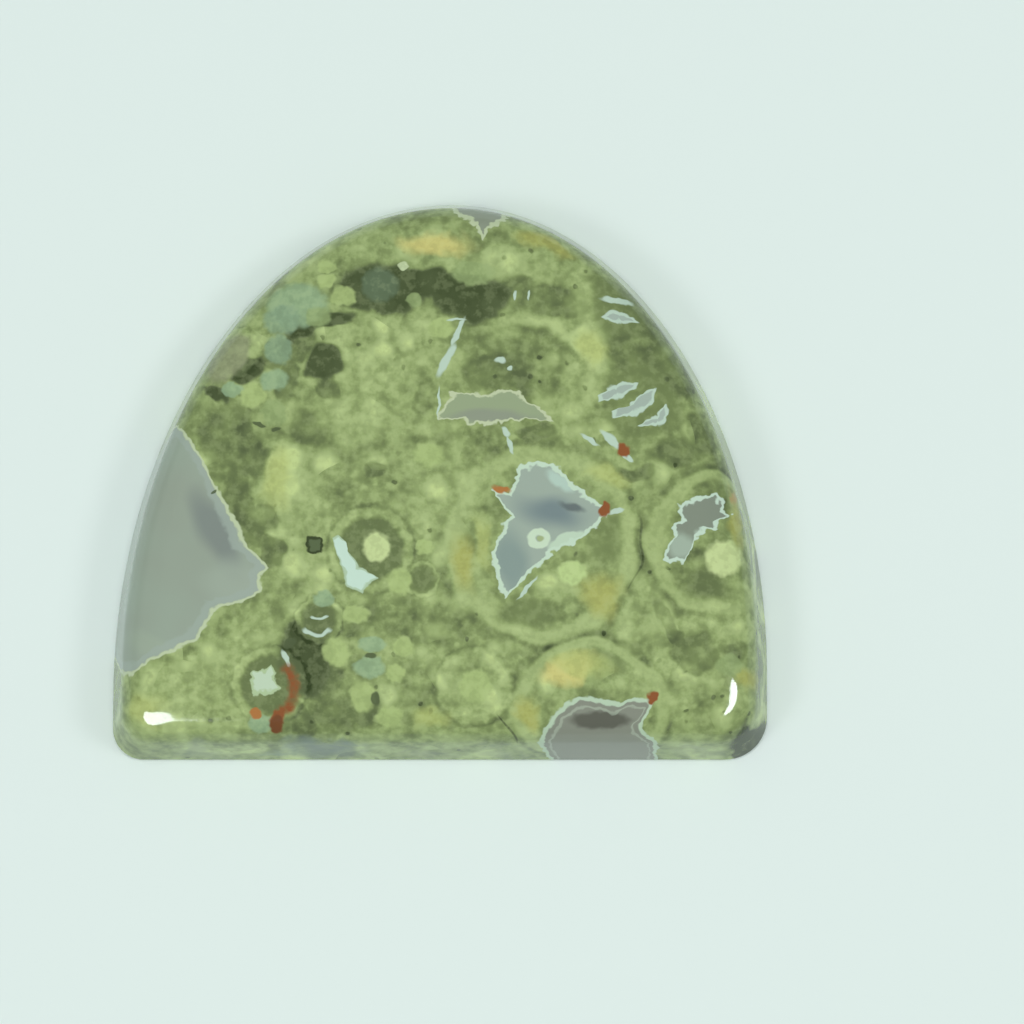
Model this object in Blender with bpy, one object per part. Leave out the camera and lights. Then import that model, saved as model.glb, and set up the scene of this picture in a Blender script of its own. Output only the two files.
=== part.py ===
"""Rhyolite jasper cabochon: one polished slab of stone, an arch in plan, with a low dome and a flat back.

The stone lies on its flat back, in metres, +Z up. Its straight edge faces -Y and its arch points to +Y.
The origin is at the middle of the box round the stone, on the surface that the back rests on.
"""

import math

import bmesh
import bpy

# Plan of the stone at its widest, just above the back
HALF_WIDTH = 0.0200
ARCH_HEIGHT = 0.0296
SIDE_HEIGHT = 0.00486
LEFT_CORNER_RADIUS = 0.00190
RIGHT_CORNER_RADIUS = 0.00257
CORNER_TIGHTENING = 0.35
ARCH_LEAN = 0.025
LEAN_EASE = 0.004

# Section through the stone, from the back up
BACK_CHAMFER_INSET = 0.00035
BACK_CHAMFER_HEIGHT = 0.00035
WALL_TOP_INSET = 0.00075
WALL_TOP_HEIGHT = 0.00330
SHOULDER_RADIUS_ACROSS = 0.00250
SHOULDER_RADIUS_UP = 0.00230
SHOULDER_START = math.radians(14)
SHOULDER_END = math.radians(86)
DOME_RISE = 0.00090
CROWN_HALF_WIDTH = 0.0180
CROWN_HALF_LENGTH = 0.0165

# Points round the outline and sections up the stone
ARCH_STEPS = 56
CORNER_STEPS = 7
BASE_LINE_STEPS = 12
SIDE_STEPS = 2
SHOULDER_STEPS = 8
DOME_STEPS = 5

STONE_COLOUR = (0.285, 0.345, 0.155, 1.0)
STONE_ROUGHNESS = 0.12
SHARP_EDGE = math.radians(30)


def arc(centre_x, centre_y, radius_x, radius_y, start, end, steps):
    """Points along an elliptical arc, without the last one."""
    points = []
    for step in range(steps):
        angle = start + (end - start) * step / steps
        points.append((centre_x + radius_x * math.cos(angle), centre_y + radius_y * math.sin(angle)))
    return points


def straight(start, end, steps):
    """Points along a straight line, without the last one."""
    points = []
    for step in range(steps):
        part = step / steps
        points.append((start[0] + (end[0] - start[0]) * part, start[1] + (end[1] - start[1]) * part))
    return points


def arch_shift(y):
    """How far the arch leans to the right at a height above the spring line."""
    return ARCH_LEAN * y**2 / (y + LEAN_EASE) if y > 0 else 0.0


def outline(inset):
    """The plan outline moved in by inset, anticlockwise from the right end of the arch.

    Heights along Y count from the spring line, where the straight sides turn into the arch.
    """
    half_width = HALF_WIDTH - inset
    base_line = inset - SIDE_HEIGHT
    left_radius = LEFT_CORNER_RADIUS - CORNER_TIGHTENING * inset
    right_radius = RIGHT_CORNER_RADIUS - CORNER_TIGHTENING * inset
    left_corner = (left_radius - half_width, base_line + left_radius)
    right_corner = (half_width - right_radius, base_line + right_radius)

    points = arc(0, 0, half_width, ARCH_HEIGHT - inset, 0, math.pi, ARCH_STEPS)
    points += straight((-half_width, 0), (-half_width, left_corner[1]), SIDE_STEPS)
    points += arc(*left_corner, left_radius, left_radius, math.pi, 1.5 * math.pi, CORNER_STEPS)
    points += straight((left_corner[0], base_line), (right_corner[0], base_line), BASE_LINE_STEPS)
    points += arc(*right_corner, right_radius, right_radius, 1.5 * math.pi, 2 * math.pi, CORNER_STEPS)
    points += straight((half_width, right_corner[1]), (half_width, 0), SIDE_STEPS)
    return [(x + arch_shift(y), y) for x, y in points]


def box_middle(points):
    """The middle of the box round points in plan."""
    across = [x for x, y in points]
    along = [y for x, y in points]
    return (min(across) + max(across)) / 2, (min(along) + max(along)) / 2


def section_points(inset, height):
    """One section round the stone, with the origin at the middle of the widest outline's box."""
    middle_x, middle_y = box_middle(outline(0))
    return [(x - middle_x, y - middle_y, height) for x, y in outline(inset)]


def edge_sections():
    """The sections of the back chamfer, the wall and the rounded shoulder, from the back up."""
    sections = [
        section_points(BACK_CHAMFER_INSET, 0),
        section_points(0, BACK_CHAMFER_HEIGHT),
        section_points(WALL_TOP_INSET, WALL_TOP_HEIGHT),
    ]
    for step in range(1, SHOULDER_STEPS + 1):
        angle = SHOULDER_START + (SHOULDER_END - SHOULDER_START) * step / SHOULDER_STEPS
        inset = WALL_TOP_INSET + SHOULDER_RADIUS_ACROSS * (math.cos(SHOULDER_START) - math.cos(angle))
        height = WALL_TOP_HEIGHT + SHOULDER_RADIUS_UP * (math.sin(angle) - math.sin(SHOULDER_START))
        sections.append(section_points(inset, height))
    return sections


def dome_point(point, scale):
    """A point of the rim drawn towards the crown, on rings that turn from the rim's shape into ellipses."""
    x, y, z = point
    on_rim = math.hypot(x, y)
    on_ellipse = on_rim / math.hypot(x / CROWN_HALF_WIDTH, y / CROWN_HALF_LENGTH)
    reach = scale * (scale + (1 - scale) * on_ellipse / on_rim)
    return x * reach, y * reach, z + DOME_RISE * (1 - scale**2)


def dome_sections(rim):
    """Shrinking rings that climb the low dome from the shoulder's rim."""
    sections = []
    for step in range(1, DOME_STEPS):
        scale = 1 - step / DOME_STEPS
        sections.append([dome_point(point, scale) for point in rim])
    return sections


def fit_face(face, points):
    """Moves the corners of a face onto the points of a section."""
    for vert, point in zip(face.verts, points):
        vert.co = point


def stone_mesh():
    """The back face drawn as a disc, then extruded up through every section of the stone."""
    edge = edge_sections()
    sections = edge + dome_sections(edge[-1])
    mesh = bmesh.new()
    bmesh.ops.create_circle(mesh, cap_ends=True, segments=len(sections[0]), radius=HALF_WIDTH)
    mesh.faces.ensure_lookup_table()
    face = mesh.faces[0]
    fit_face(face, sections[0])
    back = face
    for points in sections[1:]:
        below = face
        made = bmesh.ops.extrude_face_region(mesh, geom=[below])
        face = next(item for item in made["geom"] if isinstance(item, bmesh.types.BMFace))
        fit_face(face, points)
        if below is not back:
            bmesh.ops.delete(mesh, geom=[below], context="FACES_ONLY")
    crown = bmesh.ops.poke(mesh, faces=[face])["verts"][0]
    crown.co = (0, 0, edge[-1][0][2] + DOME_RISE)
    bmesh.ops.recalc_face_normals(mesh, faces=mesh.faces)
    data = bpy.data.meshes.new("cabochon")
    mesh.to_mesh(data)
    mesh.free()
    return data


def stone_material():
    """Polished olive-green stone."""
    material = bpy.data.materials.new("polished_rhyolite_jasper")
    material.use_nodes = True
    shader = material.node_tree.nodes["Principled BSDF"]
    shader.inputs["Base Color"].default_value = STONE_COLOUR
    shader.inputs["Roughness"].default_value = STONE_ROUGHNESS
    shader.inputs["Metallic"].default_value = 0.0
    return material


def build():
    """Clears the scene and makes the stone in a collection of its own."""
    for old in list(bpy.data.objects):
        bpy.data.objects.remove(old)
    data = stone_mesh()
    data.materials.append(stone_material())
    data.shade_smooth()
    data.set_sharp_from_angle(angle=SHARP_EDGE)
    collection = bpy.data.collections.new("rhyolite_jasper_cabochon")
    bpy.context.scene.collection.children.link(collection)
    collection.objects.link(bpy.data.objects.new("cabochon", data))


build()
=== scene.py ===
import math

import bmesh
import bpy
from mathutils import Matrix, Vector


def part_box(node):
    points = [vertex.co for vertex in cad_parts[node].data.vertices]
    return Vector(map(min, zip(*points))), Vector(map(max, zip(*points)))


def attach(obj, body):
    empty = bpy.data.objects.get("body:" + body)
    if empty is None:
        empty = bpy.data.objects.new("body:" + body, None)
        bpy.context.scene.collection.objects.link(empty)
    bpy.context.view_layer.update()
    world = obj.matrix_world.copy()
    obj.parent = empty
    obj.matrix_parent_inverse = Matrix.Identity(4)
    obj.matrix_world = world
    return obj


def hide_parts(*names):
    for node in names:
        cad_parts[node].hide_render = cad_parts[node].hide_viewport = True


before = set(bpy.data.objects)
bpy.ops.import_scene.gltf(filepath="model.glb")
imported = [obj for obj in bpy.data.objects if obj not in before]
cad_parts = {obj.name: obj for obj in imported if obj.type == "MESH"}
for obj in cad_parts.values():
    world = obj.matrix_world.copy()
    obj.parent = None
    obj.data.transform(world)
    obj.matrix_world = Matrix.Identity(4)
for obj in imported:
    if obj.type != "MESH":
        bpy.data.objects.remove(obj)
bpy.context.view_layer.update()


# The blank
# One slice of green rhyolite, trimmed to an arch, its bottom corners rounded on the grinding wheel.
# The back is sanded flat with a small safety chamfer, and the wall leans in a little towards the face.
MM = 0.001
STONE_NODE = "cabochon"
back_corner, crown_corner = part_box(STONE_NODE)
HALF_WIDTH = (crown_corner.x - back_corner.x) / 2
HALF_LENGTH = (crown_corner.y - back_corner.y) / 2
ARCH_HEIGHT = 29.6 * MM
SPRING_LINE = HALF_LENGTH - ARCH_HEIGHT
SIDE_HEIGHT = SPRING_LINE + HALF_LENGTH
LEFT_CORNER = 1.9 * MM
RIGHT_CORNER = 2.57 * MM
APEX_SHIFT = 0.70 * MM
LEAN_REACH = 36 * MM
OUTLINE_POINTS = 512
CORNER_POINTS = 12
BASE_LINE_CUTS = 90
SIDE_CUTS = 8
TOUCH = 0.01 * MM


def outline_edit(pick):
    """Selects, in edit mode, only the corners of the blank that pick accepts."""
    grid = bmesh.from_edit_mesh(blank.data)
    for part in (grid.verts, grid.edges, grid.faces):
        for item in part:
            item.select = False
    for vert in grid.verts:
        vert.select = pick(vert.co)
    grid.select_flush(True)
    bmesh.update_edit_mesh(blank.data)


def near(first, second):
    """True where two lengths are as good as the same."""
    return abs(first - second) < TOUCH


bpy.ops.object.select_all(action="DESELECT")
bpy.ops.mesh.primitive_circle_add(vertices=OUTLINE_POINTS, radius=HALF_WIDTH, fill_type="NGON")
blank = bpy.context.object
blank.name = "polished_cabochon"
bpy.ops.object.mode_set(mode="EDIT")
bpy.ops.mesh.select_mode(type="VERT")
bpy.ops.mesh.select_all(action="SELECT")
bpy.ops.mesh.bisect(plane_co=(0, 0, 0), plane_no=(0, 1, 0), clear_inner=True)
bpy.ops.mesh.select_all(action="SELECT")
bpy.ops.transform.resize(value=(1, ARCH_HEIGHT / HALF_WIDTH, 1), center_override=(0, 0, 0))
bpy.ops.transform.translate(value=(0, SPRING_LINE, 0))

# The straight sides are drawn down from the arch, and the joint across the middle is dissolved.
outline_edit(lambda co: near(co.y, SPRING_LINE))
bpy.ops.mesh.extrude_edges_move(TRANSFORM_OT_translate={"value": (0, -SIDE_HEIGHT, 0)})
outline_edit(lambda co: near(co.y, SPRING_LINE))
bpy.ops.mesh.dissolve_edges(use_verts=False)
for side, radius in ((-1, LEFT_CORNER), (1, RIGHT_CORNER)):
    outline_edit(lambda co: near(co.y, -HALF_LENGTH) and near(co.x, side * HALF_WIDTH))
    bpy.ops.mesh.bevel(offset=radius, offset_type="OFFSET", segments=CORNER_POINTS, affect="VERTICES")
outline_edit(lambda co: near(co.y, -HALF_LENGTH))
bpy.ops.mesh.subdivide(number_cuts=BASE_LINE_CUTS)
for side in (-1, 1):
    outline_edit(lambda co: near(co.x, side * HALF_WIDTH) and co.y < SPRING_LINE + TOUCH)
    bpy.ops.mesh.subdivide(number_cuts=SIDE_CUTS)

# The crown of the arch is pushed a little to the right, and the rest of the outline leans with it.
outline_edit(lambda co: near(co.y, HALF_LENGTH))
bpy.ops.transform.translate(
    value=(APEX_SHIFT, 0, 0),
    use_proportional_edit=True,
    proportional_edit_falloff="LINEAR",
    proportional_size=LEAN_REACH,
)

# The section, from the back up: chamfer, leaning wall, round shoulder, low dome.
CHAMFER = 0.35 * MM
WALL_INSET = 0.75 * MM
WALL_TOP = 3.3 * MM
WALL_STEPS = 5
SHOULDER_ACROSS = 2.5 * MM
SHOULDER_UP = 2.3 * MM
SHOULDER_START = math.radians(14)
SHOULDER_END = math.radians(86)
SHOULDER_STEPS = 16
DOME_RISE = 0.9 * MM
DOME_STEPS = 26

bpy.ops.mesh.select_all(action="SELECT")
inset = 0.0
height = 0.0


def draw_up(new_height, new_inset):
    """Extrudes the top face to a new height and shrinks it to a new distance from the widest outline."""
    global inset, height
    bpy.ops.mesh.extrude_region_move(TRANSFORM_OT_translate={"value": (0, 0, new_height - height)})
    across = (HALF_WIDTH - new_inset) / (HALF_WIDTH - inset)
    along = (HALF_LENGTH - new_inset) / (HALF_LENGTH - inset)
    bpy.ops.transform.resize(value=(across, along, 1), center_override=(0, 0, 0))
    inset, height = new_inset, new_height


across = (HALF_WIDTH - CHAMFER) / HALF_WIDTH
along = (HALF_LENGTH - CHAMFER) / HALF_LENGTH
bpy.ops.transform.resize(value=(across, along, 1), center_override=(0, 0, 0))
inset = CHAMFER
draw_up(CHAMFER, 0.0)
for step in range(1, WALL_STEPS + 1):
    part = step / WALL_STEPS
    draw_up(CHAMFER + (WALL_TOP - CHAMFER) * part, WALL_INSET * part)
for step in range(1, SHOULDER_STEPS + 1):
    angle = SHOULDER_START + (SHOULDER_END - SHOULDER_START) * step / SHOULDER_STEPS
    draw_up(
        WALL_TOP + SHOULDER_UP * (math.sin(angle) - math.sin(SHOULDER_START)),
        WALL_INSET + SHOULDER_ACROSS * (math.cos(SHOULDER_START) - math.cos(angle)),
    )
RIM_HEIGHT = height
scale = 1.0
for step in range(1, DOME_STEPS):
    new_scale = 1 - step / DOME_STEPS
    rise = RIM_HEIGHT + DOME_RISE * (1 - new_scale**2) - height
    bpy.ops.mesh.extrude_region_move(TRANSFORM_OT_translate={"value": (0, 0, rise)})
    shrink = new_scale / scale
    bpy.ops.transform.resize(value=(shrink, shrink, 1), center_override=(0, 0, 0))
    height += rise
    scale = new_scale
bpy.ops.mesh.poke()

# The lean moved the widest part of the arch, so the slice is centred again and kept within its full size.
TRUE_TO_SIZE = 0.9995
ends = [vert.co.x for vert in bmesh.from_edit_mesh(blank.data).verts]
bpy.ops.mesh.select_all(action="SELECT")
bpy.ops.transform.translate(value=(-(min(ends) + max(ends)) / 2, 0, 0))
across = TRUE_TO_SIZE * 2 * HALF_WIDTH / (max(ends) - min(ends))
bpy.ops.transform.resize(value=(across, TRUE_TO_SIZE, 1), center_override=(0, 0, 0))
bpy.ops.mesh.normals_make_consistent(inside=False)
bpy.ops.object.mode_set(mode="OBJECT")

# The polishing pad blends the dome's facets into one soft curve.
PAD_OVERLAP = 0.3 * MM
PAD_PASSES = 60
PAD_BITE = 0.5
SHARP_EDGE = math.radians(30)
crown = blank.vertex_groups.new(name="crown")
polished = [vert.index for vert in blank.data.vertices if vert.co.z > RIM_HEIGHT - PAD_OVERLAP]
crown.add(polished, 1.0, "REPLACE")
pad = blank.modifiers.new("pad", "SMOOTH")
pad.vertex_group = crown.name
pad.factor = PAD_BITE
pad.iterations = PAD_PASSES
pad.use_x = False
pad.use_y = False
bpy.ops.object.modifier_apply(modifier=pad.name)
blank.vertex_groups.clear()
bpy.ops.object.shade_smooth_by_angle(angle=SHARP_EDGE)


# The rock itself
# Green rhyolite full of small pale spherules, with darker glass between them. All of its markings grew
# in the rock, so they run down through the slice; lengths inside the rock are in millimetres.
stone = bpy.data.materials.new("polished_rhyolite_jasper")
stone.use_nodes = True


class Wire:
    """One output socket of the stone's nodes, used in sums like a number."""

    def __init__(self, socket):
        self.socket = socket

    def math(self, operation, first, second=0.0, third=0.0):
        return node("ShaderNodeMath", {"operation": operation}, {0: first, 1: second, 2: third})

    def __add__(self, other):
        return self.math("ADD", self, other)

    def __radd__(self, other):
        return self.math("ADD", other, self)

    def __sub__(self, other):
        return self.math("SUBTRACT", self, other)

    def __mul__(self, other):
        return self.math("MULTIPLY", self, other)

    def __abs__(self):
        return self.math("ABSOLUTE", self)


def node(kind, settings, sockets, output=0):
    """Adds one node, sets it up, gives its sockets their values or links, and returns one output."""
    made = stone.node_tree.nodes.new(kind)
    for name, value in settings.items():
        if name == "stops":
            ramp = made.color_ramp
            while len(ramp.elements) < len(value):
                ramp.elements.new(1.0)
            for element, (position, colour) in zip(ramp.elements, value):
                element.position = position
                element.color = colour
        elif name == "curve":
            line = made.mapping.curves[0]
            while len(line.points) < len(value):
                line.points.new(0.5, 0.5)
            for point, location in zip(line.points, value):
                point.location = location
                point.handle_type = "VECTOR"
            made.mapping.update()
        elif name == "body":
            placing = made.texture_mapping
            placing.vector_type = "TEXTURE"
            placing.translation, placing.rotation, placing.scale = value
        else:
            setattr(made, name, value)
    for name, value in sockets.items():
        if isinstance(value, Wire):
            stone.node_tree.links.new(value.socket, made.inputs[name])
        else:
            made.inputs[name].default_value = value
    return Wire(made.outputs[output])


# What the polish mirrors over a colour, how strongly the light brings the colour out, and the darkest glass
HAZE = 0.018
GAIN = 1.05
DARKEST = 0.004


def tint(red, green, blue):
    """The stone's own colour where it looks like this on screen, 0 to 255, under the haze of the polish."""
    channels = []
    for value in (red, green, blue):
        value /= 255
        light = value / 12.92 if value <= 0.04045 else ((value + 0.055) / 1.055) ** 2.4
        channels.append(max((light - HAZE) * GAIN, DARKEST))
    return (*channels, 1.0)


def vector(operation, first, second, third=(0, 0, 0)):
    """A sum on three numbers at once, such as a place in the rock."""
    return node("ShaderNodeVectorMath", {"operation": operation}, {0: first, 1: second, 2: third})


def fade(value, full, gone, amount=1.0):
    """The amount where value is at full or beyond, easing off to nothing where it reaches gone."""
    limits = {"Value": value, "From Min": full, "From Max": gone, "To Min": amount, "To Max": 0.0}
    return node("ShaderNodeMapRange", {"interpolation_type": "SMOOTHSTEP"}, limits)


def blend(mask, under, over):
    """The colour over laid on the colour under where the mask is 1."""
    settings = {"data_type": "RGBA", "clamp_factor": True}
    return node("ShaderNodeMix", settings, {0: mask, 6: under, 7: over}, output=2)


def steps(colour):
    """A colour's three channels as the three steps of a vector."""
    parts = node("ShaderNodeSeparateColor", {}, {0: colour}).socket.node
    return node("ShaderNodeCombineXYZ", {}, {side: Wire(parts.outputs[side]) for side in range(3)})


def shake(spot, grain, reach, detail):
    """Moves the places of the rock about by up to reach, in waves as long as one over grain."""
    wander = {"Vector": spot, "Scale": grain, "Detail": detail, "Roughness": 0.55}
    push = steps(node("ShaderNodeTexNoise", {}, wander, output=1))
    half = (-reach / 2,) * 3
    return vector("ADD", vector("MULTIPLY_ADD", push, (reach,) * 3, spot), half)


# The part of a shade that a place takes on, too small to move the place
SETTLING = 1e-9


def settle(latest, *kinds):
    """Hangs places on the latest shade, so that the renderer takes the markings in turn."""
    for kind in kinds:
        spots[kind] = vector("MULTIPLY_ADD", latest, (SETTLING,) * 3, spots[kind])


# The middles of the markings lie at the level of the face. Each marking is felt out to REACH times its own
# size, and goes down by DEPTH_TO_SIZE times its size, or by SHALLOWEST where it is small.
FACE_LEVEL = 5.2
REACH = 1.35
SHALLOWEST = 2.6
DEPTH_TO_SIZE = 1.1


def lump(spot, x, y, across, along, turn=0.0, deep=None):
    """How deep a place lies in a rounded body: 1 at its middle, down to 0 at REACH times its size."""
    deep = deep or max(SHALLOWEST, DEPTH_TO_SIZE * max(across, along))
    size = (across * REACH, along * REACH, deep * REACH)
    body = ((x, y, FACE_LEVEL), (0, 0, math.radians(turn)), size)
    settings = {"gradient_type": "SPHERICAL", "body": body}
    return node("ShaderNodeTexGradient", settings, {"Vector": spots[spot]}, output=1)


def nearest(spot, bodies):
    """How deep a place lies in the nearest of several rounded bodies."""
    depth = lump(spot, *bodies[0])
    for body in bodies[1:]:
        depth = depth.math("MAXIMUM", depth, lump(spot, *body))
    return depth


def within(depth, full, gone, amount=1.0):
    """The amount out to full times a body's size, easing off to nothing at gone times its size."""
    return fade(depth, 1 - full / REACH, 1 - gone / REACH, amount)


def ring(depth, middle, full, gone, amount=1.0):
    """The amount on a band round a body, its middle, half thickness and edge given as parts of the size."""
    return fade(abs(depth - (1 - middle / REACH)), full / REACH, gone / REACH, amount)


def cells(spot, size):
    """A packing of round cells: the distance to the middle of each, and a random number for each."""
    packed = node("ShaderNodeTexVoronoi", {}, {"Vector": spot, "Scale": 1 / size})
    colour = Wire(packed.socket.node.outputs["Color"])
    return packed, node("ShaderNodeSeparateColor", {}, {0: colour})


def clouds(spot, size, detail):
    """Soft blotches of one size, between 0 and 1."""
    wander = {"Vector": spot, "Scale": 1 / size, "Detail": detail, "Roughness": 0.6}
    return node("ShaderNodeTexNoise", {}, wander)


# Places in the rock, from straight ones to ones shaken more and more, so that no marking is a true circle
in_metres = node("ShaderNodeTexCoord", {}, {}, output=3)
place = node("ShaderNodeVectorMath", {"operation": "SCALE"}, {0: in_metres, "Scale": 1 / MM})
level = node("ShaderNodeSeparateXYZ", {}, {0: place}, output=2)
flow = shake(place, 0.40, 1.3, 0.0)
ragged = shake(flow, 1.1, 0.85, 1.0)
rough = shake(place, 1.9, 0.50, 1.0)
crisp = shake(place, 1.6, 0.36, 1.0)
spots = {"place": place, "flow": flow, "ragged": ragged, "rough": rough, "crisp": crisp}

# The grain of the rock: fine ripples, pale spherules with dark glass between them, finer grains in both,
# dark specks, and blotches over them, all on broad beds of paler and darker green
RIPPLE_SIZE = 0.55
RIPPLE_CONTRAST = 0.26
SPHERULE_RIPPLE = 0.4
SPHERULE_SIZE = 1.7
SPHERULE_CONTRAST = 0.50
SPHERULE_SHADE = 0.13
GLASS_SHADE = 0.08
GRAIN_SIZE = 0.55
GRAIN_CONTRAST = 0.18
GRAIN_SHADE = 0.06
SPECK_SHADE = 0.25
BLOTCH_SIZE = 0.9
BLOTCH_CONTRAST = 0.52
BLOTCH_SHADE = 0.27
BED_SIZE = 2.6
BED_CONTRAST = 0.42
BED_SHADE = 0.365
ripple = clouds(place, RIPPLE_SIZE, 2.0) - 0.5
spherule, spherule_tone = cells(flow, SPHERULE_SIZE)
grain, grain_tone = cells(crisp, GRAIN_SIZE)
ball = fade(spherule + ripple * SPHERULE_RIPPLE, 0.16, 0.52)
texture = ball * (spherule_tone * SPHERULE_CONTRAST - SPHERULE_SHADE)
texture = texture - fade(spherule, 0.80, 0.48, GLASS_SHADE)
texture = texture + clouds(place, BLOTCH_SIZE, 1.0) * BLOTCH_CONTRAST - BLOTCH_SHADE
texture = texture + ripple * RIPPLE_CONTRAST
texture = texture + fade(grain, 0.10, 0.55) * (grain_tone * GRAIN_CONTRAST - GRAIN_SHADE)
texture = texture - fade(grain, 0.20, 0.36) * fade(grain_tone, 0.03, 0.05, SPECK_SHADE)
green = BED_SHADE + clouds(flow, BED_SIZE, 1.0) * BED_CONTRAST


def tend(mask, shade):
    """Draws the green towards a shade where the mask is 1."""
    global green
    green = node("ShaderNodeMix", {"data_type": "FLOAT"}, {0: mask, 2: green, 3: shade})


# The ground's patches: their shade from dark 0 to pale 1, how much of it, and then for each patch its
# middle, its half width and half length, and where they matter its turn and its half depth
GROUND = (
    (0.76, 0.55, (
        (-3.6, 5.6, 4.4, 4.2), (-14.3, -13.6, 4.6, 2.6, 20), (-8.6, -2.9, 1.9, 5.0, 15),
        (-6.5, 14.0, 3.5, 1.0, 35), (13.0, -12.4, 2.2, 2.2), (17.3, -9.6, 2.6, 1.4),
        (6.3, 12.2, 4.2, 1.0, -12), (2.3, 12.8, 2.2, 0.8), (8.2, 4.6, 1.2, 1.5), (-11.6, -9.6, 1.6, 1.2),
        (10.9, 0.0, 2.6, 0.9), (-18.3, -15.3, 1.6, 1.6), (-0.4, -2.7, 1.6, 2.8),
    )),
    (0.40, 0.70, (
        (10.9, 11.4, 2.4, 1.4, -35), (13.2, 2.2, 2.6, 2.2), (16.4, 0.2, 1.9, 3.2, 10), (4.3, 6.8, 3.9, 2.6),
        (-0.9, 4.6, 0.8, 1.4), (-5.0, -1.6, 1.5, 1.4), (-1.5, -9.3, 4.2, 1.4), (1.4, 1.6, 3.2, 0.9),
        (5.5, 1.3, 2.3, 0.7, 15), (11.8, -11.0, 1.4, 1.0), (17.8, -11.3, 1.0, 0.8), (1.9, -15.4, 2.0, 0.6),
        (-9.4, -15.9, 3.6, 0.8), (-1.9, -13.7, 1.1, 0.9),
    )),
    (0.30, 0.86, (
        (12.8, 7.8, 2.9, 3.9, 25), (5.6, 10.5, 3.4, 1.3, -5), (3.6, 6.0, 2.4, 1.2), (-6.8, 5.2, 0.7, 0.9),
        (-9.2, 5.4, 0.8, 1.8), (-8.5, 7.6, 1.6, 0.9, 30), (-8.1, 2.4, 1.1, 1.5, 20), (-3.8, -0.1, 0.7, 0.7),
        (-12.5, 1.6, 2.7, 1.9, -45), (-11.6, -2.6, 1.2, 3.0, 25), (-6.8, -12.9, 1.3, 1.2),
        (-8.4, -15.1, 0.9, 1.2), (-5.9, -9.3, 2.5, 1.0, 10), (-5.6, -14.7, 2.4, 1.3),
        (-9.9, -5.2, 0.7, 0.9), (-10.3, -3.2, 0.8, 1.3), (-10.4, 6.7, 0.7, 0.8),
    )),
    (0.31, 0.85, (
        (5.9, 2.3, 1.4, 0.6), (14.6, 1.0, 1.7, 1.1, 20), (12.0, -0.2, 1.2, 0.6), (17.0, 0.2, 1.1, 0.8),
        (16.0, 2.3, 1.0, 1.6, 15), (14.6, 6.5, 1.6, 2.6, 30), (15.2, -11.1, 1.5, 1.2, -35),
        (13.9, -9.5, 1.7, 0.5, -50), (13.3, -15.2, 0.7, 1.2),
    )),
    (0.90, 0.80, ((9.1, 7.5, 0.9, 1.5, 20), (-9.4, -0.4, 1.0, 2.2))),
    (0.08, 0.95, (
        (-3.4, 11.1, 3.9, 1.5), (-7.3, 8.6, 2.4, 0.6, 22), (1.7, 10.6, 2.7, 1.6), (-0.4, 11.1, 2.0, 1.2),
        (-6.8, 6.4, 1.4, 1.0), (-11.7, 5.9, 1.2, 0.7, 40), (-13.6, 4.4, 1.1, 0.6, -25),
        (-8.0, -11.4, 1.6, 2.5, 15),
    )),
    (-0.12, 1.00, ((19.2, -16.3, 1.6, 1.4, 0, 9.0),)),
)
for shade, amount, bodies in GROUND:
    tend(within(nearest("ragged", bodies), 0.74, 1.10, amount), shade)
    settle(green, "ragged")

# The grain shows fully in the pale ground and only faintly in the dark glass.
GLASS_GRAIN = 0.2
green = green + texture * fade(green, 0.50, 0.15, 1 - GLASS_GRAIN) + texture * GLASS_GRAIN
settle(green, "flow", "rough", "ragged", "place")


# The large orbs
# Balls of radiating mineral up to 12 mm across, cut through near the middle. Each shows a darker heart
# and a paler skin, with a thin dark line round it.
def orb(spot, x, y, radius, heart, skin, thin=0.10, line=-0.12):
    """Shades the heart and the skin of an orb, draws the dark line round it, and returns its depth.

    The skin's thickness is a part of the radius, and the shades are changes of the ground's green.
    """
    global green
    profile = (
        (REACH, 0.0), (1.12, 0.0), (1.05, line), (1.02, line),
        (1 - 0.5 * thin, skin), (1 - 1.4 * thin, skin), (1 - 2.8 * thin, heart), (0.0, heart),
    )
    depth = lump(spot, x, y, radius, radius)
    curve = [(1 - part / REACH, change) for part, change in profile]
    green = green + node("ShaderNodeFloatCurve", {"curve": curve}, {"Value": depth})
    return depth


big_orb = orb("flow", 6.1, -4.6, 6.0, -0.03, 0.05, 0.11)
tend(ring(big_orb, 0.90, 0.04, 0.11, 0.75), 0.78)
right_orb = orb("flow", 16.8, -4.6, 4.5, -0.20, 0.05, 0.10)
tend(ring(right_orb, 0.91, 0.04, 0.11, 0.7), 0.74)
dome_ring = ring(lump("ragged", 4.6, 4.6, 5.6, 5.0), 0.95, 0.02, 0.15, 0.8)
tend(dome_ring * within(lump("place", 7.3, 7.7, 5.0, 3.2), 0.5, 1.1), 0.92)
low_orb = orb("flow", 9.2, -14.9, 4.8, -0.04, 0.05, 0.11)
tend(ring(low_orb, 0.90, 0.04, 0.11, 0.7), 0.76)
orb("rough", 2.1, -13.2, 2.35, -0.12, 0.17, 0.17, -0.10)

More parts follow.
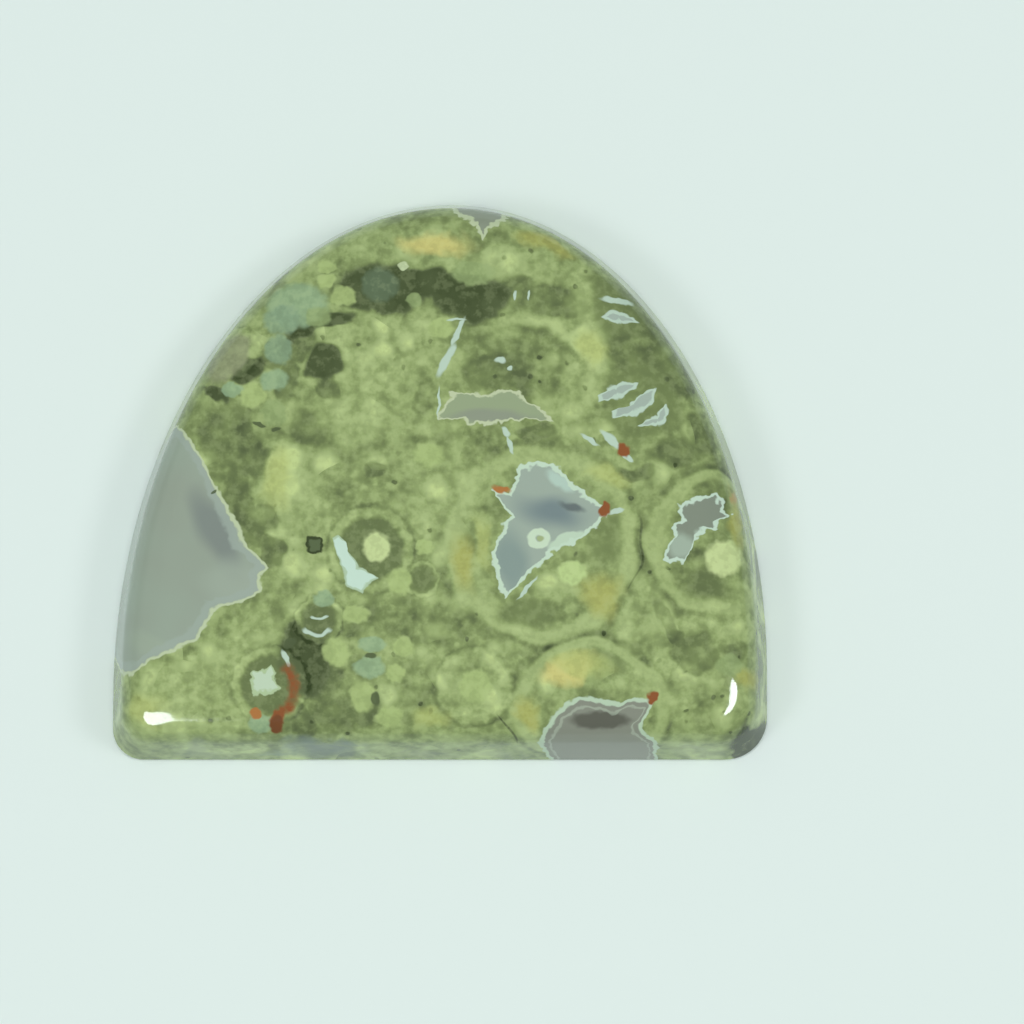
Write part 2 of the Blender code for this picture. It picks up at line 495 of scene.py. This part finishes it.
# The small orbs, first their dark hearts together and then each one's shades
hearts = nearest("rough", (
    (-4.1, -4.93, 2.65, 2.65), (-10.2, -13.1, 2.3, 2.3), (-7.2, -9.2, 1.45, 1.45), (-1.0, -6.8, 1.1, 1.1),
))
tend(within(hearts, 0.70, 0.88, 0.85), 0.25)
settle(green, "flow", "rough", "place")
SMALL_ORBS = (
    (-4.1, -4.93, 2.65, -0.02, 0.12, 0.10),
    (-10.2, -13.1, 2.3, 0.00, 0.10, 0.12),
    (-7.2, -9.2, 1.45, 0.00, 0.14, 0.14),
    (-1.0, -6.8, 1.1, 0.04, 0.12, 0.16, -0.06),
    (-12.6, 7.3, 1.7, -0.10, 0.12, 0.16, -0.07),
)
for small_orb in SMALL_ORBS:
    orb("rough", *small_orb)

# Dark glass inside and between the orbs: its shade, how much of it, the parts of its size at which it is
# full and gone, and its place and size
GLASS = (
    (0.36, 0.80, 0.7, 1.00, (12.1, 4.2, 2.9, 2.9)),
    (0.34, 0.80, 0.7, 1.00, (11.0, 10.1, 2.2, 2.2)),
    (0.38, 0.80, 0.5, 1.10, (9.9, -3.9, 1.5, 2.2)),
    (0.32, 0.80, 0.5, 1.10, (5.2, -8.7, 2.4, 1.0)),
    (0.24, 0.85, 0.3, 1.15, (16.2, -7.2, 2.2, 1.2)),
    (0.36, 0.70, 0.5, 1.10, (10.3, -12.0, 1.5, 0.9)),
)
for shade, amount, full, gone, body in GLASS:
    tend(within(lump("flow", *body), full, gone, amount), shade)

# Two hairline cracks: one follows the right side of the big orb, one runs down to the straight edge.
CRACK_SHADE = 0.18
LOW_CRACK_SHADE = 0.3
crack = ring(big_orb, 1.03, 0.004, 0.016) * within(lump("place", 12.5, -6.0, 1.5, 4.0), 0.6, 1.0)
green = green - crack * CRACK_SHADE
green = green - within(lump("flow", 4.3, -16.0, 1.3, 0.09, -58), 0.5, 1.2, LOW_CRACK_SHADE)

# Lower in the slice the rock goes on with other orbs of the same kind, with pale rings and dark hearts.
DEEP_ORB_SIZE = 6.5
DEEP_CONTRAST = 0.40
DEEP_SHADE = 0.16
RING_STRENGTH = 0.30
HEART_STRENGTH = 0.30
deep = fade(level, 2.2, 4.0)
deep_orb, deep_tone = cells(spots["flow"], DEEP_ORB_SIZE)
rings = fade(abs(deep_orb - 0.40), 0.02, 0.08, RING_STRENGTH) - fade(deep_orb, 0.16, 0.30, HEART_STRENGTH)
balls = fade(deep_orb, 0.28, 0.46) * (deep_tone * DEEP_CONTRAST - DEEP_SHADE)
green = green + deep * (rings + balls)

# The shades of green, from the dark glass at 0 to the palest spherules at 1
GREENS = (
    (0.00, tint(55, 66, 40)),
    (0.20, tint(92, 104, 72)),
    (0.40, tint(122, 138, 90)),
    (0.60, tint(148, 166, 110)),
    (0.80, tint(168, 186, 128)),
    (1.00, tint(190, 208, 142)),
)
rock = node("ShaderNodeValToRGB", {"stops": GREENS}, {"Fac": green})
settle(rock, "ragged", "rough")


# Iron stains
# Ochre, mustard and yellow-green stains. Water carried iron along the orbs' edges and left it there, so
# they lie over the green and have no edge of their own.
STAINS = (
    (tint(207, 200, 126), 0.85, ((-0.3, 14.0, 2.4, 0.9, -3), (7.6, -12.3, 2.0, 0.9, 22))),
    (tint(168, 172, 98), 0.85, (
        (6.4, 13.7, 2.5, 0.7, -17), (1.5, -5.9, 1.0, 2.0, 15), (9.9, -7.6, 1.5, 1.7, 10),
        (18.9, -12.9, 1.3, 0.9), (5.4, -14.8, 0.8, 1.1), (17.9, -3.0, 0.5, 2.4, 10),
    )),
    (tint(178, 190, 116), 0.65, (
        (-9.6, -0.6, 1.0, 2.2), (10.4, -0.6, 1.6, 0.8, -20), (9.3, 7.4, 1.0, 1.4), (-0.4, -15.1, 1.4, 0.8),
        (-17.8, -14.6, 1.8, 1.2), (8.6, -11.9, 2.2, 0.8, -10), (2.7, -4.5, 0.7, 2.0, 10),
    )),
)
for colour, amount, bodies in STAINS:
    rock = blend(within(nearest("ragged", bodies), 0.35, 1.15, amount), rock, colour)
settle(rock, "rough")


# Round discs
# Single round spherules, pale yellow-green, teal or blue-grey, that stand out of the ground. The saw cut
# each of them across, so they show as discs with a clear edge.
DISCS = (
    (tint(146, 173, 137), 0.82, (
        (-8.7, 10.1, 2.0, 1.5), (-10.0, 5.4, 0.9, 0.7), (-12.6, 4.9, 0.7, 0.5), (-4.0, -10.7, 0.9, 0.5),
        (-6.9, -7.95, 0.65, 0.5), (-10.7, -15.4, 0.8, 0.6), (-4.2, -12.05, 1.0, 0.7),
    )),
    (tint(134, 160, 130), 0.80, ((-9.8, 7.35, 0.9, 1.0), (-9.6, 9.2, 1.2, 1.0))),
    (tint(145, 165, 112), 0.80, (
        (-10.0, 3.4, 0.85, 0.9), (-7.4, 9.3, 0.8, 0.7), (-1.5, 10.35, 0.5, 0.5), (2.0, 12.0, 1.4, 0.8),
        (17.5, -11.9, 0.9, 0.7),
    )),
    (tint(168, 188, 124), 0.85, (
        (-0.6, 0.8, 1.0, 0.9), (-6.9, 11.6, 0.6, 0.45), (-5.9, 10.6, 0.85, 0.7), (-4.6, -13.8, 0.8, 1.0),
        (-0.9, -4.8, 0.6, 0.5), (0.1, 8.6, 0.8, 0.7), (-11.3, 4.5, 0.85, 0.8), (-5.0, -8.9, 0.9, 0.6),
        (-2.4, -6.9, 0.8, 0.9), (-2.1, -10.8, 0.7, 0.7), (-6.2, -11.1, 0.9, 0.9), (-6.9, 12.5, 0.65, 0.45),
        (2.18, -13.17, 1.05, 1.1), (-2.6, -12.4, 0.6, 0.6), (-3.0, -15.0, 0.9, 0.7),
    )),
    (tint(184, 206, 140), 0.92, ((8.0, -6.35, 0.95, 0.8),)),
    (tint(198, 215, 154), 0.92, ((17.2, -5.4, 1.25, 1.15), (-3.76, -4.8, 0.95, 0.95))),
    (tint(99, 117, 92), 0.85, ((-3.65, 11.3, 1.2, 1.15),)),
    (tint(142, 148, 118), 0.75, ((-12.9, 6.9, 1.2, 1.9, -35),)),
    (tint(196, 212, 168), 0.90, ((-2.24, 12.46, 0.35, 0.25),)),
)
for colour, amount, bodies in DISCS:
    rock = blend(within(nearest("rough", bodies), 0.76, 1.10, amount), rock, colour)
    settle(rock, "rough")

# A faint pale and dark ripple lies over all of it.
PALE_RIPPLE = 0.10
DARK_RIPPLE = 0.14
rock = blend(fade(ripple, 0.16, -0.04, PALE_RIPPLE), rock, tint(196, 212, 158))
rock = blend(fade(ripple, -0.14, 0.04, DARK_RIPPLE), rock, tint(92, 104, 72))
settle(rock, "ragged", "crisp", "flow")


# Painted reflection along the straight edge
# Grey and blue-grey clouds are painted into the colour of the lower wall along the straight edge. They
# stand in for the grey veil that the polished wall mirrors from the pale sheet, and reach down the wall to
# the half depth set just below.
PAINTED_VEIL_DEPTH = 6.0
PAINTED_VEIL = (
    (-6.8, -16.9, 3.4, 0.9, tint(112, 128, 120), 0.85),
    (-14.0, -17.2, 3.4, 0.6, tint(136, 150, 124), 0.6),
    (-10.0, -17.1, 2.2, 0.5, tint(134, 152, 132), 0.6),
    (-0.5, -17.1, 3.4, 0.6, tint(140, 150, 124), 0.6),
    (4.4, -17.2, 2.6, 0.6, tint(128, 140, 116), 0.7),
    (15.9, -17.1, 2.6, 0.6, tint(136, 148, 120), 0.6),
)
# Each patch paints part of the mirrored grey veil into the rock's colour, down to that half depth.
for x, y, across, along, colour, amount in PAINTED_VEIL:
    veil_mask = within(lump("ragged", x, y, across, along, deep=PAINTED_VEIL_DEPTH), 0.5, 1.1, amount)
    rock = blend(veil_mask, rock, colour)


# Agate pockets
# Gas pockets in the lava that filled with banded grey chalcedony, each with a thin white to cream skin.
# Their walls close in slowly towards the back of the slice.
POCKET_CLOSING = 0.05
WALL_POINTS = (0, 0.33, 0.67)
WALL_ROOM = 1.4
BOTTOMLESS = 1000
TOOTH_SIZE = 0.50
JAGGED_TEETH = 0.8
EVEN_TEETH = 0.35
below = fade(level, 0.0, FACE_LEVEL, FACE_LEVEL)
closing = below * below * POCKET_CLOSING
teeth = clouds(place, TOOTH_SIZE, 1.5) - 0.5
jagged = teeth.math("MULTIPLY_ADD", teeth, JAGGED_TEETH, closing)
even = teeth.math("MULTIPLY_ADD", teeth, EVEN_TEETH, closing)


def pocket(x, y, corners, wander):
    """Distance in mm outside a pocket's wall, from its corners taken round its middle at x, y.

    The wall is a curve of its distance from the middle over the angle round it, and wander shakes it.
    """
    turns = []
    for start, end in zip(corners, corners[1:] + corners[:1]):
        for part in WALL_POINTS:
            aside = start[0] + (end[0] - start[0]) * part - x
            ahead = start[1] + (end[1] - start[1]) * part - y
            turns.append((math.atan2(ahead, aside) / math.tau + 0.5, math.hypot(aside, ahead)))
    turns.sort()
    size = WALL_ROOM * max(radius for angle, radius in turns)
    before, after = turns[-1], turns[0]
    gap = after[0] + 1 - before[0]
    seam = after[1] + (before[1] - after[1]) * after[0] / gap
    line = [(angle, 1 - radius / size) for angle, radius in [(0.0, seam), *turns, (1.0, seam)]]
    round_it = {"gradient_type": "RADIAL", "body": ((x, y, 0), (0, 0, 0), (1, 1, 1))}
    out_of_it = {"gradient_type": "SPHERICAL", "body": ((x, y, 0), (0, 0, 0), (size, size, BOTTOMLESS))}
    angle = node("ShaderNodeTexGradient", round_it, {"Vector": spots["crisp"]}, output=1)
    depth = node("ShaderNodeTexGradient", out_of_it, {"Vector": spots["crisp"]}, output=1)
    wall = node("ShaderNodeFloatCurve", {"curve": line}, {"Value": angle})
    return wall.math("MULTIPLY_ADD", wall - depth, size, wander)


def fill(out, colour, skin, width):
    """Lays an agate fill inside a pocket, and a skin of some width along its wall, both with soft edges."""
    global rock
    rock = blend(fade(out, 0.0, 0.12), rock, skin)
    rock = blend(fade(out, -width - 0.08, -width + 0.05), rock, colour)


def zones(colour, laid):
    """Lays soft zones on an agate fill: each has its places, body, full and gone sizes, amount, colour."""
    for spot, body, full, gone, amount, over in laid:
        colour = blend(within(lump(spot, *body), full, gone, amount), colour, over)
    return colour


WHITE_SKIN = tint(192, 214, 196)
CREAM_SKIN = tint(186, 200, 164)

# The big pocket on the left edge, cut open by the wall, with cloudy agate and a paler band inside its skin
left_pocket = pocket(-16.0, -5.5, (
    (-16.0, 2.9), (-14.5, 0.9), (-13.6, -1.0), (-12.1, -3.6), (-11.7, -4.7), (-10.3, -6.0),
    (-10.8, -6.5), (-10.7, -7.5), (-12.3, -8.2), (-13.6, -8.6), (-14.7, -10.4), (-17.4, -11.6),
    (-18.5, -12.4), (-21.5, -12.0), (-23.0, -5.5), (-21.5, 2.0),
), even)
murk = blend(clouds(spots["flow"], 4.0, 1.0), tint(147, 156, 142), tint(153, 170, 154))
murk = zones(murk, (
    ("flow", (-13.5, -4.0, 1.4, 3.4, 27), 0.4, 1.1, 0.8, tint(124, 133, 129)),
    ("flow", (-12.2, -6.8, 2.6, 1.6), 0.4, 1.1, 0.7, tint(158, 171, 156)),
    ("flow", (-16.8, -10.8, 2.6, 0.9, -20), 0.4, 1.1, 0.7, tint(156, 170, 152)),
))
murk = blend(fade(abs(left_pocket + 0.45), 0.15, 0.45, 0.75), murk, tint(157, 171, 160))
fill(left_pocket, murk, CREAM_SKIN, 0.14)

# The notch at the top of the arch
notch = pocket(2.5, 16.6, (
    (0.9, 16.0), (1.1, 15.85), (2.2, 15.2), (2.2, 14.9), (2.65, 14.2), (2.9, 14.8), (4.0, 15.65),
    (4.6, 18.5), (0.2, 18.5),
), jagged)
fill(notch, tint(140, 150, 132), CREAM_SKIN, 0.22)

# The long flat pocket under the dome-shaped orb
long_pocket = pocket(3.1, 3.7, (
    (-0.25, 2.98), (0.4, 4.0), (0.88, 4.61), (2.92, 4.39), (3.6, 4.73), (4.74, 4.66), (5.2, 4.05),
    (6.1, 3.7), (6.9, 2.86), (5.08, 3.02), (2.92, 2.61), (1.79, 2.68), (1.45, 2.98),
), jagged)
long_fill = zones(tint(149, 164, 131), (
    ("flow", (3.2, 3.1, 3.4, 0.7), 0.5, 1.1, 0.9, tint(141, 150, 132)),
))
fill(long_pocket, long_fill, tint(188, 200, 164), 0.16)

settle(rock, "crisp", "flow")

# The star-shaped pocket in the big orb
star = pocket(6.0, -3.5, (
    (3.2, -1.4), (4.3, -1.6), (4.9, 0.1), (6.1, 0.3), (7.3, 0.0), (8.2, -1.1), (10.2, -2.6),
    (8.9, -4.1), (6.9, -5.1), (5.2, -6.6), (3.9, -7.9), (3.2, -5.1), (4.3, -2.9),
), jagged)
star_fill = zones(tint(156, 171, 158), (
    ("flow", (6.6, -2.7, 2.4, 1.1, -10), 0.3, 1.3, 1.0, tint(120, 136, 137)),
    ("crisp", (8.0, -2.4, 1.0, 0.32, -15), 0.4, 1.1, 0.9, tint(100, 110, 110)),
    ("flow", (4.4, -6.0, 1.2, 2.6, 10), 0.3, 1.2, 1.0, tint(135, 153, 146)),
    ("crisp", (7.7, -4.4, 1.3, 0.45, 22), 0.8, 1.1, 1.0, tint(186, 208, 184)),
    ("crisp", (7.3, -0.8, 1.2, 0.5, -35), 0.5, 1.1, 1.0, tint(176, 200, 186)),
))
eye = ring(lump("crisp", 6.0, -4.3, 0.65, 0.6), 0.75, 0.22, 0.42)
star_fill = zones(blend(eye, star_fill, tint(196, 216, 190)), (
    ("crisp", (6.1, -4.3, 0.3, 0.25), 0.6, 1.1, 1.0, tint(160, 176, 130)),
))
fill(star, star_fill, tint(192, 214, 192), 0.24)

settle(rock, "crisp")

# The slanting pocket in the right-hand orb
slant = pocket(15.5, -3.3, (
    (14.5, -2.2), (15.3, -1.9), (16.7, -1.5), (17.2, -2.0), (17.1, -2.5), (17.6, -2.7), (16.9, -3.1),
    (16.8, -3.6), (16.2, -3.6), (15.7, -4.0), (15.2, -4.6), (15.1, -5.1), (14.8, -5.7), (14.2, -5.6),
    (13.6, -5.5), (13.7, -5.0), (14.0, -4.4), (14.3, -4.1), (14.2, -3.6), (14.6, -3.1), (14.4, -2.6),
), jagged)
slant_fill = zones(tint(131, 141, 126), (
    ("crisp", (14.6, -4.7, 0.9, 0.9), 0.5, 1.2, 1.0, tint(160, 177, 160)),
    ("crisp", (16.0, -3.9, 0.6, 0.4), 0.5, 1.1, 1.0, tint(180, 200, 182)),
))
fill(slant, slant_fill, WHITE_SKIN, 0.24)

# The pocket cut open by the straight edge
gate = pocket(9.9, -16.3, (
    (5.6, -17.1), (6.6, -15.4), (7.0, -14.7), (8.4, -13.8), (9.9, -14.0), (10.9, -14.2), (12.0, -13.9),
    (12.9, -14.1), (12.2, -15.3), (12.2, -15.8), (13.3, -16.5), (14.4, -17.4), (15.0, -19.5), (5.0, -19.5),
), even)
gate_fill = zones(tint(135, 140, 127), (
    ("crisp", (9.7, -15.2, 2.0, 0.55), 0.7, 1.1, 1.0, tint(98, 100, 90)),
))
gate_fill = blend(fade(abs(gate + 0.62), 0.04, 0.14, 0.45), gate_fill, tint(178, 192, 172))
fill(gate, gate_fill, tint(180, 202, 176), 0.22)

settle(rock, "crisp")


# White slivers
# Thin white lens-shaped and fang-shaped marks, and a few white shards and veins, laid over the rock.
# The white of the slivers, and the greyer white in the middles of the lenses
SLIVER_WHITE = tint(184, 206, 188)
SLIVER_GREY = tint(162, 178, 166)
LENSES = (
    (10.8, 4.7, (
        (9.58, 4.50), (11.33, 5.25), (11.96, 5.25), (11.78, 4.89), (10.87, 4.39), (9.67, 4.11),
    )),
    (11.9, 3.9, (
        (10.42, 3.59), (11.55, 3.85), (12.58, 4.80), (13.08, 4.89), (12.92, 4.05), (12.12, 3.48),
        (10.53, 3.07),
    )),
    (13.2, 3.0, (
        (12.08, 2.68), (13.14, 3.25), (13.71, 3.93), (13.87, 3.48), (13.60, 2.79), (12.24, 2.61),
    )),
    (10.9, 9.3, (
        (9.85, 9.39), (10.42, 9.69), (11.21, 9.57), (12.08, 9.05), (11.33, 9.02), (10.42, 9.12),
    )),
)
lenses = [pocket(*lens, even) for lens in LENSES]
lens_out = lenses[0]
for lens in lenses[1:]:
    lens_out = lens_out.math("MINIMUM", lens_out, lens)
fill(lens_out, SLIVER_GREY, SLIVER_WHITE, 0.20)
settle(rock, "crisp")

# Single slivers, veins and specks: middle, half length, half width and turn
SLIVERS = (
    (10.8, 10.4, 1.05, 0.20, -8),
    (9.1, 1.75, 0.65, 0.15, -32),
    (10.4, 1.75, 0.85, 0.24, -44),
    (11.35, 0.7, 0.40, 0.16, -40),
    (0.4, 6.6, 1.15, 0.26, 64),
    (1.1, 8.3, 1.00, 0.15, 66),
    (1.0, 9.1, 0.60, 0.08, 0),
    (-0.05, 4.0, 1.0, 0.08, 87),
    (4.0, 2.2, 0.40, 0.20, -50),
    (4.3, 1.4, 0.60, 0.12, -72),
    (3.7, 6.6, 0.35, 0.24, 0),
    (4.3, 6.1, 0.16, 0.14, 0),
    (4.6, 10.6, 0.30, 0.10, 78),
    (5.4, 10.65, 0.32, 0.08, 84),
    (-9.2, -11.5, 0.55, 0.15, -60),
    (5.3, -7.3, 0.90, 0.12, 48),
    (10.7, -2.6, 0.45, 0.16, 10),
)
rock = blend(within(nearest("crisp", SLIVERS), 0.75, 1.2), rock, SLIVER_WHITE)
settle(rock, "crisp", "place")

# Two smiling arcs, each the lowest part of a ring
SMILES = ((-7.35, -8.91, 1.18), (-7.17, -8.45, 0.73))
SMILE_HEIGHT = 0.55
for x, y, radius in SMILES:
    smile = ring(lump("crisp", x, y, radius, radius), 1.0, 0.05, 0.13)
    lowest = within(lump("place", x, y - radius, radius, radius * SMILE_HEIGHT), 0.7, 1.0)
    rock = blend(smile * lowest, rock, SLIVER_WHITE)

# The fang beside a small orb, and the shard in another
fang = pocket(-5.2, -6.3, (
    (-6.15, -4.1), (-5.69, -4.40), (-5.42, -5.16), (-4.85, -6.07), (-4.22, -6.45), (-3.65, -6.70),
    (-4.33, -7.04), (-4.67, -7.54), (-5.47, -7.20), (-5.81, -6.07), (-6.21, -5.04), (-6.44, -4.36),
), even)
fill(fang, tint(194, 219, 203), tint(172, 196, 166), 0.1)
shard = pocket(-10.4, -12.9, (
    (-11.2, -12.2), (-10.5, -12.3), (-10.1, -11.9), (-9.9, -12.7), (-9.6, -13.2), (-10.2, -13.6),
    (-11.1, -13.6),
), jagged)
fill(shard, tint(188, 208, 182), tint(172, 194, 152), 0.12)

settle(rock, "crisp", "rough", "place")


# Red hematite
# Small knots of red and rust-brown iron oxide that grew against the pockets, and one bow of it that grew
# along the side of a small orb.
RED = tint(140, 88, 56)
RUST = tint(172, 118, 70)
KNOTS = (
    (RED, (
        (11.1, 1.05, 0.38, 0.44), (10.0, -2.5, 0.34, 0.48, -20), (12.85, -13.85, 0.42, 0.32, 20),
        (-9.7, -15.0, 0.60, 0.40, 40),
    )),
    (RUST, ((3.7, -1.3, 0.62, 0.22, -8), (-11.05, -14.8, 0.34, 0.34))),
    (tint(168, 150, 96), ((17.9, -1.6, 0.28, 0.50),)),
    (tint(116, 76, 50), ((-9.75, -15.45, 0.45, 0.60),)),
)
bow = ring(lump("rough", -10.3, -13.3, 1.62, 1.68), 1.0, 0.06, 0.32)
bow = bow * within(lump("place", -8.7, -13.4, 1.35, 1.75), 0.80, 1.08)
BOW_PATCHINESS = 2.0
BOW_STRENGTH = 0.85
rock = blend(bow * (ripple * BOW_PATCHINESS + BOW_STRENGTH), rock, RED)
for colour, bodies in KNOTS:
    rock = blend(within(nearest("rough", bodies), 0.72, 1.15), rock, colour)

settle(rock, "crisp")


# Dark pits
# A few specks and one square hole, where a crystal fell out or dissolved. Polishing powder and shadow
# leave them dark, and they are too shallow to feel.
PITS = (
    (-10.9, 2.7, 0.45, 0.14, -20),
    (-9.9, 2.4, 0.35, 0.12, 15),
    (-13.6, -1.4, 0.22, 0.10, 50),
    (-3.8, -13.95, 0.30, 0.45, 20),
    (-4.1, -11.35, 0.40, 0.18, 0),
    (-9.0, -10.6, 0.50, 0.30, 40),
)
rock = blend(within(nearest("crisp", PITS), 0.7, 1.1, 0.9), rock, tint(84, 96, 68))
hole = pocket(-7.47, -4.7, ((-7.92, -4.2), (-7.05, -4.25), (-7.08, -5.2), (-7.9, -5.15)), even)
fill(hole, tint(92, 106, 76), tint(66, 76, 52), 0.14)


# The polish
# The face, the shoulder and the wall are buffed with oxide on a felt pad until they mirror the room. The
# polish adds no colour and no coat of its own.
POLISH = 0.06
STONE_IOR = 1.54
gloss = stone.node_tree.nodes["Principled BSDF"]
gloss.inputs["Roughness"].default_value = POLISH
gloss.inputs["IOR"].default_value = STONE_IOR
stone.node_tree.links.new(rock.socket, gloss.inputs["Base Color"])
blank.data.materials.append(stone)
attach(blank, "root")
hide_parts(STONE_NODE)


# The sheet under the stone
# A plain pale blue-green sheet of matt paper, wide enough to fill every view. It only stages the stone.
SHEET_SIZE = 3.0
SHEET_COLOUR = (0.735, 0.83, 0.80, 1)
SHEET_ROUGHNESS = 0.9
bpy.ops.object.select_all(action="DESELECT")
bpy.ops.mesh.primitive_plane_add(size=SHEET_SIZE)
sheet = bpy.context.object
sheet.name = "pale_sheet"
paper = bpy.data.materials.new("pale_sheet")
paper.use_nodes = True
matte = paper.node_tree.nodes["Principled BSDF"]
matte.inputs["Base Color"].default_value = SHEET_COLOUR
matte.inputs["Roughness"].default_value = SHEET_ROUGHNESS
matte.inputs["Specular IOR Level"].default_value = 0.0
sheet.data.materials.append(paper)


# Light and camera
# Soft studio light from above and both sides, and two window-shaped lamps that only the polish mirrors.
# The camera stands over the stone, tipped a little towards the straight edge.
LOOK_AT = (4.39 * MM, -2.26 * MM, 2.5 * MM)
CAMERA_DISTANCE = 280 * MM
CAMERA_TILT = math.radians(7.5)
FRAME_WIDTH = 62.48 * MM
SENSOR_WIDTH = 36
NEAREST_SEEN = 10 * MM
LAMP_DISTANCE = 600 * MM
WINDOW_COLOUR = (0.86, 0.92, 1.0)
ROOM_COLOUR = (0.93, 1.0, 0.98, 1)
ROOM_LIGHT = 0.35


def softbox(name, azimuth, elevation, size, height, watts):
    """An oval lamp that looks at the stone, its azimuth counted from the front towards the right."""
    light = bpy.data.lights.new(name, "AREA")
    light.shape = "ELLIPSE"
    light.size = size
    light.size_y = height
    light.energy = watts
    lamp = bpy.data.objects.new(name, light)
    bpy.context.scene.collection.objects.link(lamp)
    azimuth, elevation = math.radians(azimuth), math.radians(elevation)
    lamp.location = (
        LAMP_DISTANCE * math.cos(elevation) * math.sin(azimuth),
        -LAMP_DISTANCE * math.cos(elevation) * math.cos(azimuth),
        LAMP_DISTANCE * math.sin(elevation),
    )
    lamp.rotation_euler = (math.pi / 2 - elevation, 0, azimuth)
    return lamp


softbox("overhead", 0, 88, 0.35, 0.35, 1.75).visible_glossy = False
softbox("left_fill", -65, 50, 0.16, 0.16, 0.5).visible_glossy = False
softbox("right_fill", 85, 50, 0.16, 0.16, 0.5).visible_glossy = False
left_window = softbox("left_window", -34.3, 47, 0.378, 0.33, 4.9)
right_window = softbox("right_window", 69.5, 51.5, 0.34, 0.145, 2.35)
for window in (left_window, right_window):
    window.data.color = WINDOW_COLOUR
    window.visible_diffuse = False

world = bpy.data.worlds.new("studio")
world.use_nodes = True
world.node_tree.nodes["Background"].inputs["Color"].default_value = ROOM_COLOUR
world.node_tree.nodes["Background"].inputs["Strength"].default_value = ROOM_LIGHT
bpy.context.scene.world = world

lens = bpy.data.cameras.new("camera")
lens.lens = SENSOR_WIDTH * CAMERA_DISTANCE / FRAME_WIDTH
lens.clip_start = NEAREST_SEEN
camera = bpy.data.objects.new("camera", lens)
bpy.context.scene.collection.objects.link(camera)
camera.location = (
    LOOK_AT[0],
    LOOK_AT[1] - CAMERA_DISTANCE * math.sin(CAMERA_TILT),
    LOOK_AT[2] + CAMERA_DISTANCE * math.cos(CAMERA_TILT),
)
camera.rotation_euler = (CAMERA_TILT, 0, 0)
bpy.context.scene.camera = camera
bpy.context.scene.view_settings.view_transform = "Standard"
